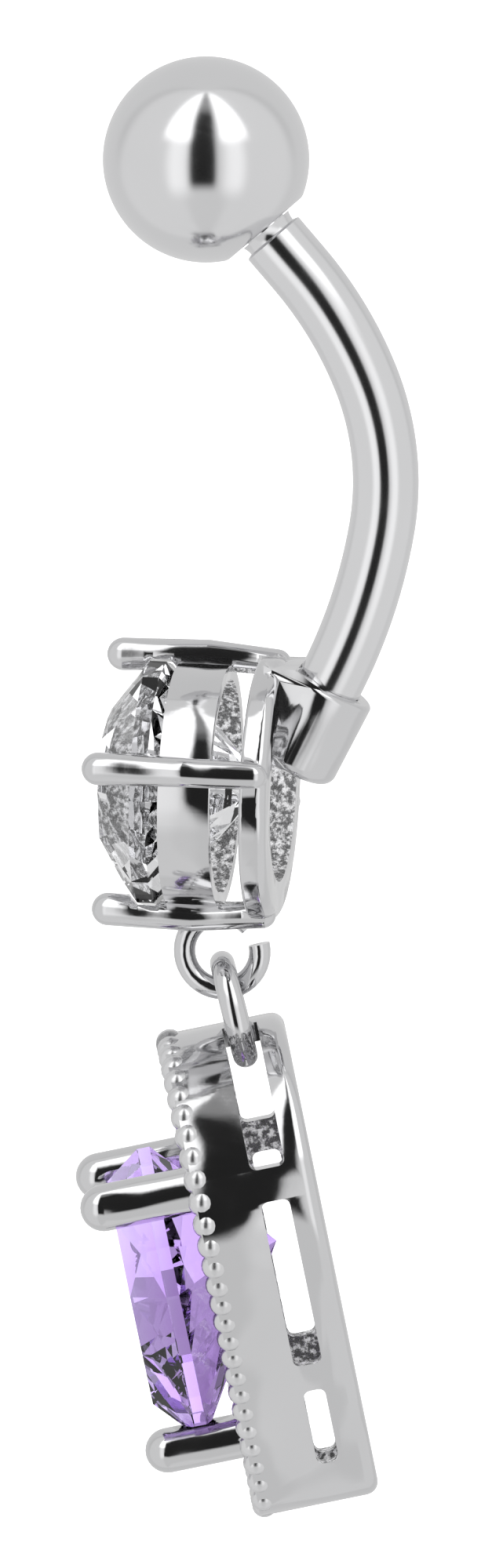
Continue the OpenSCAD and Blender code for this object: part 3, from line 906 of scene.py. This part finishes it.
floor_mesh = bpy.data.meshes.new("floor")
corners = [(-1, -1), (1, -1), (1, 1), (-1, 1)]
floor_mesh.from_pydata([(FLOOR_REACH * x, FLOOR_REACH * y, FLOOR_Z) for x, y in corners], [],
                       [(0, 1, 2, 3)])
floor = bpy.data.objects.new("floor", floor_mesh)
bpy.context.scene.collection.objects.link(floor)
pale = Shader("pale_floor")
pale.set(Base_Color=(0.93, 0.93, 0.94, 1), Roughness=0.9)
pale.set(Emission_Color=(1, 1, 1, 1), Emission_Strength=0.6)
floor_mesh.materials.append(pale.material)
floor.visible_glossy = False
print("floor", 2 * FLOOR_REACH, "m wide at", FLOOR_Z, "m")

# %% [markdown]
# The photograph shows the jewel from its side, from so far that nothing narrows with distance. The
# camera looks from there, a little from above. An orthographic camera would look alike, but a long
# lens stands for a real one.

# %% Camera
CAMERA_AZIMUTH = 98.3
CAMERA_HEIGHT = 8.5
CAMERA_DISTANCE = 600.0
VIEW_CENTRE = Vector((0, -3.42, -7.47))
VIEW_HEIGHT = 38.1
SENSOR = 24.0

azimuth, height = math.radians(CAMERA_AZIMUTH), math.radians(CAMERA_HEIGHT)
towards_camera = Vector((math.sin(azimuth) * math.cos(height),
                         -math.cos(azimuth) * math.cos(height), math.sin(height)))
eye = bpy.data.cameras.new("camera")
eye.sensor_fit = "VERTICAL"
eye.sensor_height = SENSOR
eye.lens = SENSOR * CAMERA_DISTANCE / VIEW_HEIGHT
eye.clip_start = 0.01
eye.clip_end = 20.0
camera = bpy.data.objects.new("camera", eye)
camera.location = (VIEW_CENTRE + CAMERA_DISTANCE * towards_camera) * MM
camera.rotation_euler = towards_camera.to_track_quat("Z", "Y").to_euler()
bpy.context.scene.collection.objects.link(camera)
bpy.context.scene.camera = camera
print("camera at", tuple(round(v, 4) for v in camera.location))

# %% [markdown]
# Polished metal shows its surroundings and hardly any colour of its own, so the studio is what gives
# it its form. Lamps and panels could stand about the jewel, but the world itself is simpler: its
# brightness is a formula of the direction, measured from the camera's own side.

# %% Directions in the studio
world = bpy.data.worlds.new("studio")
bpy.context.scene.world = world
world.use_nodes = True
studio = Nodes(world.node_tree)
direction = studio.node("ShaderNodeTexCoord", {}, output="Generated")


def towards(vector):
    """How far the looked-at direction agrees with a vector, from -1 to 1."""
    return studio.node("ShaderNodeVectorMath", {0: direction, 1: vector},
                       {"operation": "DOT_PRODUCT"}, "Value")


def step_up(amount, low, high):
    """0 below low, 1 above high, smooth between. Angles are in degrees."""
    return studio.node("ShaderNodeMapRange", {
        "Value": amount, "From Min": math.radians(low), "From Max": math.radians(high)},
        {"interpolation_type": "SMOOTHSTEP"}, "Result")


def within(amount, low, high, soft):
    """1 between two angles in degrees, 0 outside them, with soft borders."""
    below_high = 1.0 - step_up(amount, high - soft, high + soft)
    return step_up(amount, low - soft, low + soft) * below_high


level = Vector((math.sin(azimuth), -math.cos(azimuth), 0))
turn = towards(Vector((-level.y, level.x, 0))).math("ARCTAN2", towards(level))
aside = turn.math("ABSOLUTE")
rise = towards((0, 0, 1)).math("ARCSINE")
print("angles are measured from", tuple(round(v, 3) for v in level))

# %% [markdown]
# The walls are pale grey. Two soft boxes stand high at the camera's left and right, with a sheen
# below them, the corners behind are a little darker, and at the camera itself is the dark gap
# between the boxes, which every round piece shows as an upright dark line. To the camera the
# world is plain white, like the photograph's background.

# %% Studio light
BASE_GREY = 0.72
DARKEST = 0.02
WHITE = 1.1

stretches = {
    "side walls": (0.08, within(aside, 26, 112, 8)),
    "far corners": (-0.12, within(aside, 108, 118, 9) * step_up(rise, -20, 20)),
    "soft boxes": (0.9, within(aside, 17, 54, 5) * within(rise, 28, 86, 8)),
    "sheen below the boxes": (0.3, within(aside, 19, 44, 8) * within(rise, -30, 34, 12)),
    "gap at the camera": (-0.42, within(turn, -20, 11, 5) * within(rise, -24, 88, 8)),
    "depth of the gap": (-0.4, within(turn, -18, 10, 4) * within(rise, -22, 60, 10)),
}
grey = BASE_GREY
for light, area in stretches.values():
    grey = grey + light * area
seen = studio.node("ShaderNodeLightPath", {}, output="Is Camera Ray")
backing = world.node_tree.nodes["Background"]
plug(world.node_tree, backing.inputs["Color"],
     grey.math("MAXIMUM", DARKEST).math("MAXIMUM", seen * WHITE))
plug(world.node_tree, backing.inputs["Strength"], 1.0)
bpy.context.scene.view_settings.view_transform = "Standard"
print("studio with", ", ".join(stretches))
